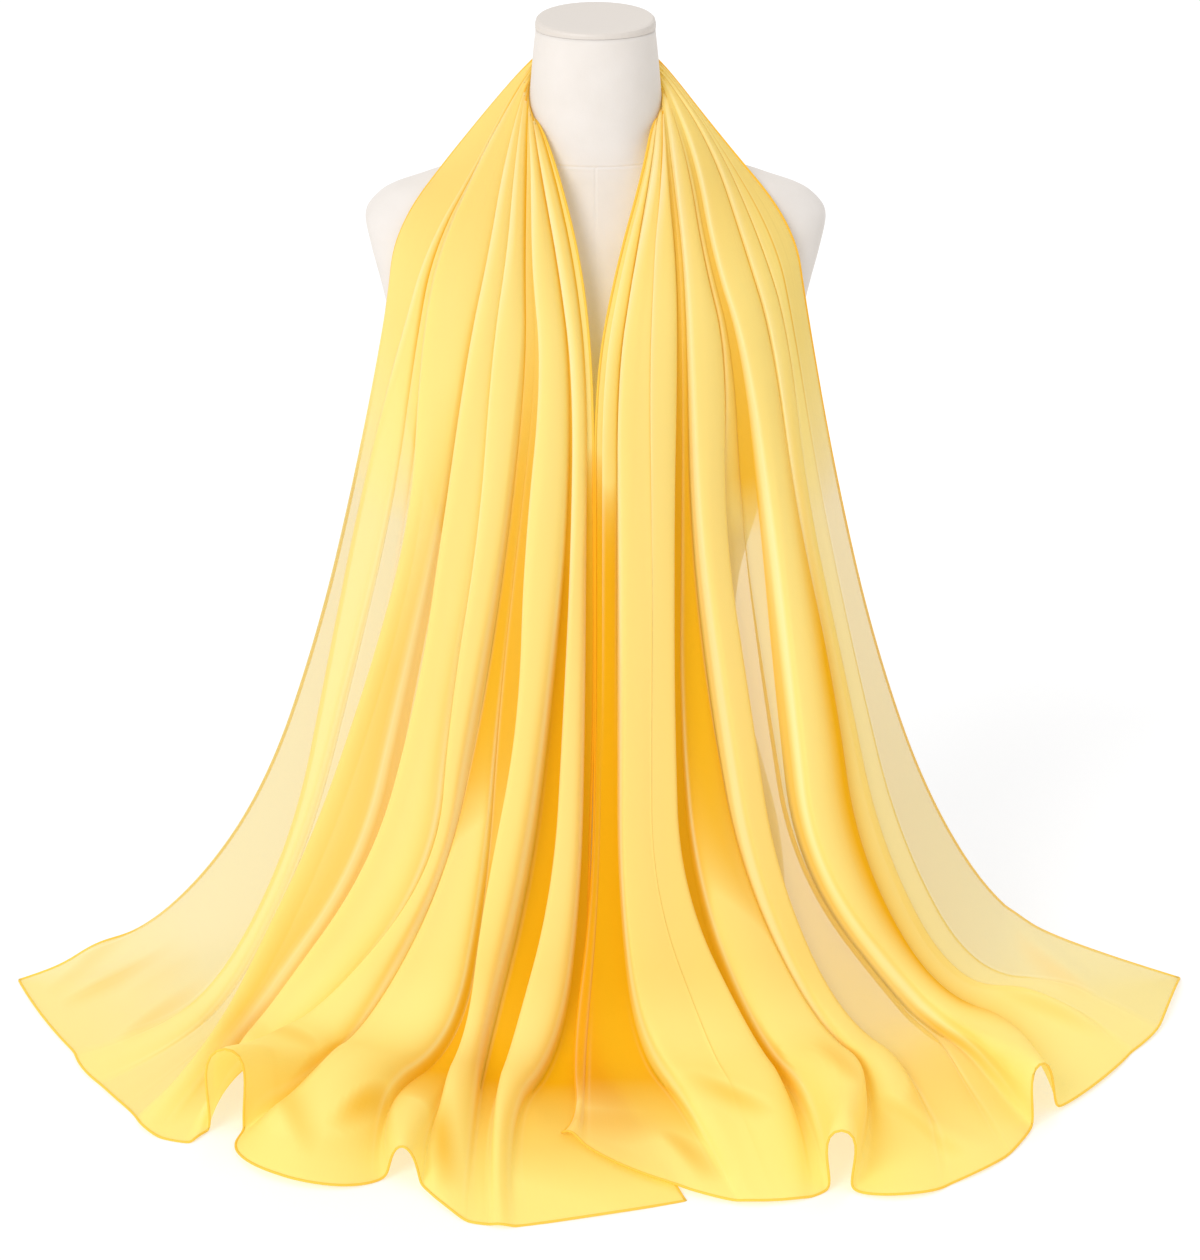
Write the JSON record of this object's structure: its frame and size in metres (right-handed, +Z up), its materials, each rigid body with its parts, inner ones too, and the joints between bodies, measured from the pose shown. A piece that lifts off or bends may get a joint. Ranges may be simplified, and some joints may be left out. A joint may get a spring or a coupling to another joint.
{
  "type": "chiffon scarf on a dress form",
  "caption": "Sheer rectangular scarf gathered behind the neck of a limbless dress form, its two halves hanging in deep folds and trailing on the floor in front.",
  "frame": {"origin": "on the floor, under the middle of the form's base board", "axes": "+Z up, the form and the scarf's open front face -Y, +X is to the viewer's right"},
  "size_m": [0.9825, 0.5631, 0.8221],
  "materials": {
    "chiffon": "sheer plain weave with a soft sheen",
    "form_cover": "matte stretched jersey with sewn seams",
    "form_cap": "satin off-white paint",
    "board_paint": "matte paint"
  },
  "bodies": {
    "root": {"scarf_neck_band": "chiffon", "scarf_left_fall": "chiffon", "scarf_right_fall": "chiffon", "form_torso": "form_cover", "form_neck_cap": "form_cap", "form_base_board": "board_paint"}
  },
  "joints": []
}
